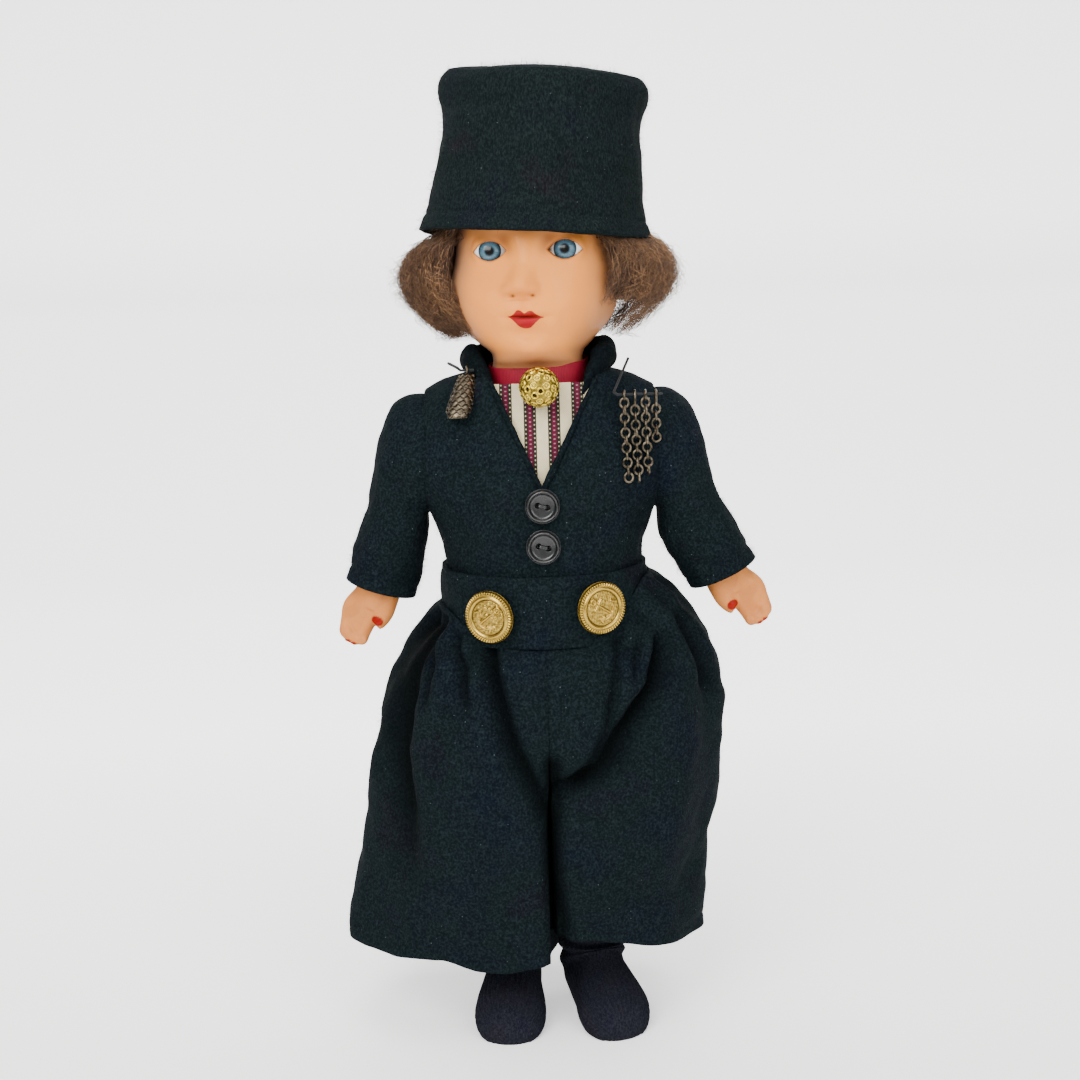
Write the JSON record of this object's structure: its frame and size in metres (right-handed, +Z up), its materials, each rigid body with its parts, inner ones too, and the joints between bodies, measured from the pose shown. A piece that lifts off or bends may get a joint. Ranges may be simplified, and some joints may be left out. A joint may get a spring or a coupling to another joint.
{
  "type": "composition doll",
  "caption": "Strung composition doll standing on flat soles, with sleep eyes, mohair wig, tall felt cap, wool jacket, wide trousers and knitted socks; head, eyes, arms and legs turn.",
  "frame": {"origin": "on the floor under the middle of the doll's outline, between its feet", "axes": "+Z up along the doll's height, -Y the way its chest faces, +X towards its own left hand"},
  "size_m": [0.1388, 0.067, 0.3025],
  "materials": {
    "composition": "glossy flesh paint over pressed sawdust and glue, finely crazed",
    "felt": "milled black wool felt with a matted nap",
    "wool": "plain-woven blue-black wool cloth",
    "knit": "ribbed navy wool knit",
    "mohair": "frizzy brown mohair",
    "shirting": "cream cotton twill with woven red and black stripes",
    "ribbon": "crimson ribbed silk ribbon",
    "gilt": "stamped gilt brass, rubbed on the high places",
    "silver": "tarnished silvered brass wire",
    "steel": "drawn steel wire",
    "lead": "dull cast lead",
    "horn": "polished black moulded button",
    "glass": "opaque white glass with a blue iris",
    "elastic": "cotton-covered round elastic",
    "wood": "turned raw beech"
  },
  "bodies": {
    "torso": {"torso_front": "composition", "torso_back": "composition", "neck_hook": "steel", "arm_elastic": "elastic", "body_elastic": "elastic", "jacket_front_left": "wool", "jacket_front_right": "wool", "jacket_back": "wool", "jacket_collar": "wool", "shirt_front": "shirting", "neck_ribbon": "ribbon", "neck_bead": "gilt", "jacket_button_upper": "horn", "jacket_button_lower": "horn", "trouser_waistband": "wool", "waist_button_left": "gilt", "waist_button_right": "gilt", "trouser_hip_left": "wool", "trouser_hip_right": "wool", "tassel_bar": "silver", "pendant_bar": "silver"},
    "head": {"head_shell": "composition", "neck_plug": "wood", "wig": "mohair"},
    "eyes": {"eye_left": "glass", "eye_right": "glass", "eye_rocker": "steel", "eye_weight": "lead"},
    "hat": {"hat_side": "felt", "hat_crown": "felt"},
    "arm_left": {"arm_left": "composition", "sleeve_left": "wool", "arm_hook_left": "steel"},
    "arm_right": {"arm_right": "composition", "sleeve_right": "wool", "arm_hook_right": "steel"},
    "leg_left": {"leg_left": "composition", "sock_left": "knit", "trouser_leg_left": "wool", "leg_hook_left": "steel"},
    "leg_right": {"leg_right": "composition", "sock_right": "knit", "trouser_leg_right": "wool", "leg_hook_right": "steel"},
    "tassel": {"chain_strand_1": "silver", "chain_strand_2": "silver", "chain_strand_3": "silver", "chain_strand_4": "silver"},
    "pendant": {"mesh_pendant": "silver"}
  },
  "joints": [
    {"name": "head_turn", "type": "hinge", "parent": "torso", "child": "head", "pos_m": [-0.00215, 0, 0.214], "axis": [0, 0, 1], "range_deg": [-60, 60]},
    {"name": "eye_close", "type": "hinge", "parent": "head", "child": "eyes", "pos_m": [-0.00392, -0.0155, 0.2494], "axis": [0.9936, -0.1132, 0], "range_deg": [0, 60]},
    {"name": "hat_lift", "type": "slide", "parent": "head", "child": "hat", "axis": [0, 0, 1], "range_m": [0, 0.05]},
    {"name": "arm_left_swing", "type": "hinge", "parent": "torso", "child": "arm_left", "pos_m": [-0.00215, 0, 0.188], "axis": [-1, 0, 0], "range_deg": [-45, 125]},
    {"name": "arm_right_swing", "type": "hinge", "parent": "torso", "child": "arm_right", "pos_m": [-0.00215, 0, 0.188], "axis": [-1, 0, 0], "range_deg": [-45, 125]},
    {"name": "leg_left_swing", "type": "hinge", "parent": "torso", "child": "leg_left", "pos_m": [-0.00215, 0, 0.112], "axis": [-1, 0, 0], "range_deg": [-15, 85], "deforming": ["trouser_hip_left"]},
    {"name": "leg_right_swing", "type": "hinge", "parent": "torso", "child": "leg_right", "pos_m": [-0.00215, 0, 0.112], "axis": [-1, 0, 0], "range_deg": [-15, 85], "deforming": ["trouser_hip_right"]},
    {"name": "tassel_swing", "type": "hinge", "parent": "torso", "child": "tassel", "pos_m": [-0.00215, -0.0222, 0.2065], "axis": [-1, 0, 0], "range_deg": [0, 50]},
    {"name": "pendant_swing", "type": "hinge", "parent": "torso", "child": "pendant", "pos_m": [-0.00215, -0.0144, 0.2146], "axis": [-1, 0, 0], "range_deg": [0, 50]}
  ]
}
